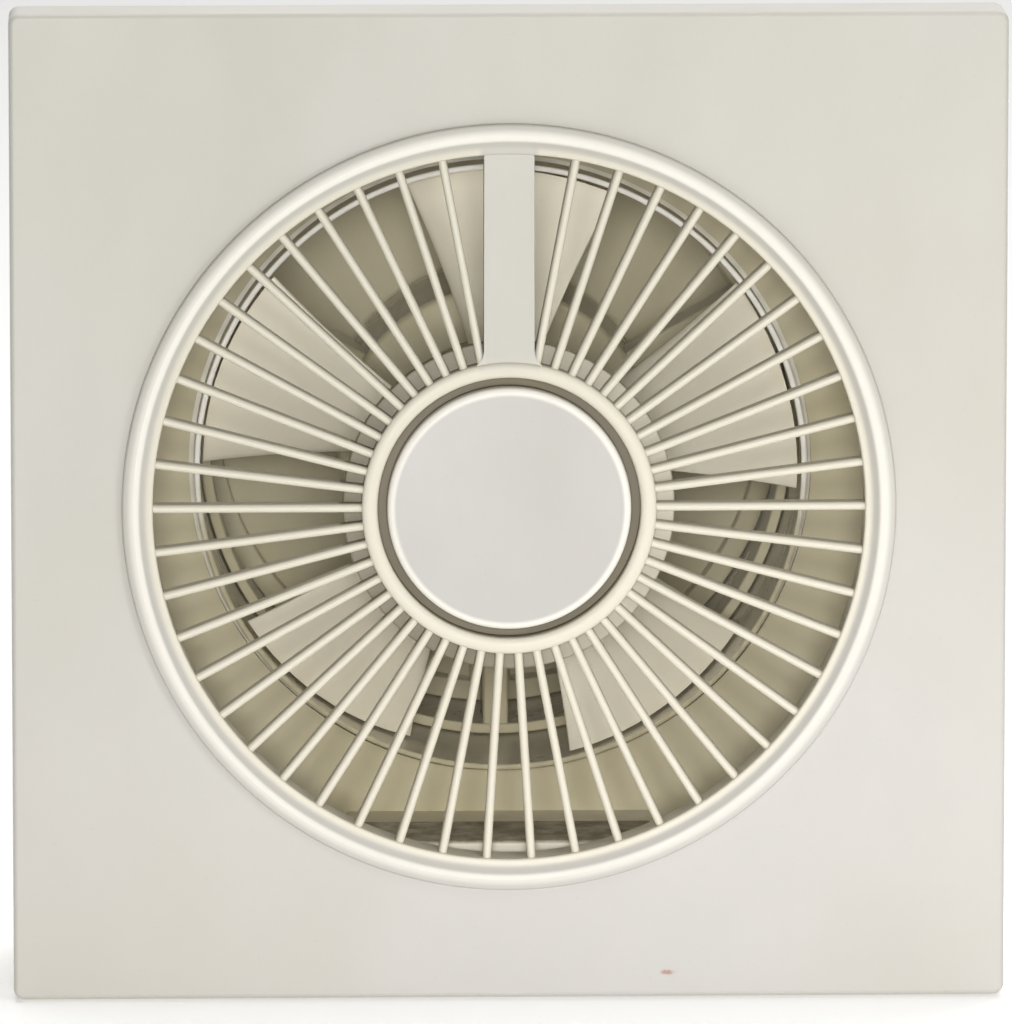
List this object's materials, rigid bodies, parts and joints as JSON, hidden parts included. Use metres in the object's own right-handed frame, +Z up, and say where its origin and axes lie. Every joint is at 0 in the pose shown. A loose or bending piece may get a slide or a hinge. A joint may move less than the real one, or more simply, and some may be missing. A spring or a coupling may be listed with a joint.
{
  "type": "bathroom extractor fan",
  "caption": "Square wall or ceiling extractor fan with a round radial grille, an axial impeller, a duct spigot and a backdraught shutter.",
  "frame": {"origin": "on the fan axis, in the plane of the wall that the housing's rear face rests on", "axes": "+Y along the fan axis into the wall, +X to the right as seen from the room, +Z up"},
  "size_m": [0.152, 0.1117, 0.152],
  "materials": {
    "cover_plastic": "satin moulded off-white",
    "housing_plastic": "moulded cream, slightly dulled",
    "impeller_plastic": "moulded pale grey cream",
    "block_plastic": "moulded cream",
    "black_nylon": "moulded black",
    "laminated_steel": "stacked laminations",
    "bright_steel": "zinc plated",
    "cast_aluminium": "as cast",
    "bronze": "sintered",
    "copper": "bare and enamelled copper",
    "brass": "machined",
    "rubber": "moulded black",
    "brown_sleeve": "extruded sleeve",
    "blue_sleeve": "extruded sleeve"
  },
  "bodies": {
    "fan_housing": {"terminal_cover": "cover_plastic", "housing": "housing_plastic", "motor_carrier": "housing_plastic", "motor_rear_cover": "housing_plastic", "shutter_frame": "housing_plastic", "terminal_block": "block_plastic", "bobbin_right": "black_nylon", "bobbin_left": "black_nylon", "cord_clamp": "black_nylon", "stator_core": "laminated_steel", "motor_screw_right": "bright_steel", "motor_screw_left": "bright_steel", "shutter_pin": "bright_steel", "shutter_spring_upper": "bright_steel", "shutter_spring_lower": "bright_steel", "terminal_cover_screw": "bright_steel", "cord_clamp_screw_lower": "bright_steel", "cord_clamp_screw_upper": "bright_steel", "terminal_screw_live_lower": "bright_steel", "terminal_screw_live_upper": "bright_steel", "terminal_screw_neutral_lower": "bright_steel", "terminal_screw_neutral_upper": "bright_steel", "terminal_screw_switched_lower": "bright_steel", "terminal_screw_switched_upper": "bright_steel", "bearing_front": "bronze", "bearing_rear": "bronze", "coil_right": "copper", "coil_left": "copper", "shading_ring_right": "copper", "shading_ring_left": "copper", "terminal_insert_live": "brass", "terminal_insert_neutral": "brass", "terminal_insert_switched": "brass", "cable_grommet": "rubber", "motor_lead_live": "brown_sleeve", "motor_lead_neutral": "blue_sleeve"},
    "fan_rotor": {"impeller": "impeller_plastic", "impeller_clip": "bright_steel", "shaft": "bright_steel", "rotor_core": "laminated_steel", "rotor_end_ring_front": "cast_aluminium", "rotor_end_ring_rear": "cast_aluminium", "thrust_washer_front": "black_nylon", "thrust_washer_rear": "black_nylon"},
    "shutter_right": {"shutter_flap_right": "housing_plastic"},
    "shutter_left": {"shutter_flap_left": "housing_plastic"},
    "cover": {"front_cover": "cover_plastic", "centre_cap": "cover_plastic"}
  },
  "joints": [
    {"name": "impeller_spin", "type": "hinge", "parent": "fan_housing", "child": "fan_rotor", "pos_m": [0, 0.03, 0], "axis": [0, 1, 0], "continuous": true},
    {"name": "cover_slide", "type": "slide", "parent": "fan_housing", "child": "cover", "axis": [0, -1, 0], "range_m": [0, 0.03]},
    {"name": "shutter_right_swing", "type": "hinge", "parent": "fan_housing", "child": "shutter_right", "pos_m": [0, 0.0565, 0], "axis": [0, 0, 1], "range_deg": [0, 75], "stiffness_Nm_per_rad": 0.0003, "springref_deg": -11.46},
    {"name": "shutter_left_swing", "type": "hinge", "parent": "fan_housing", "child": "shutter_left", "pos_m": [0, 0.0565, 0], "axis": [0, 0, -1], "range_deg": [0, 75], "stiffness_Nm_per_rad": 0.0003, "springref_deg": -11.46}
  ]
}
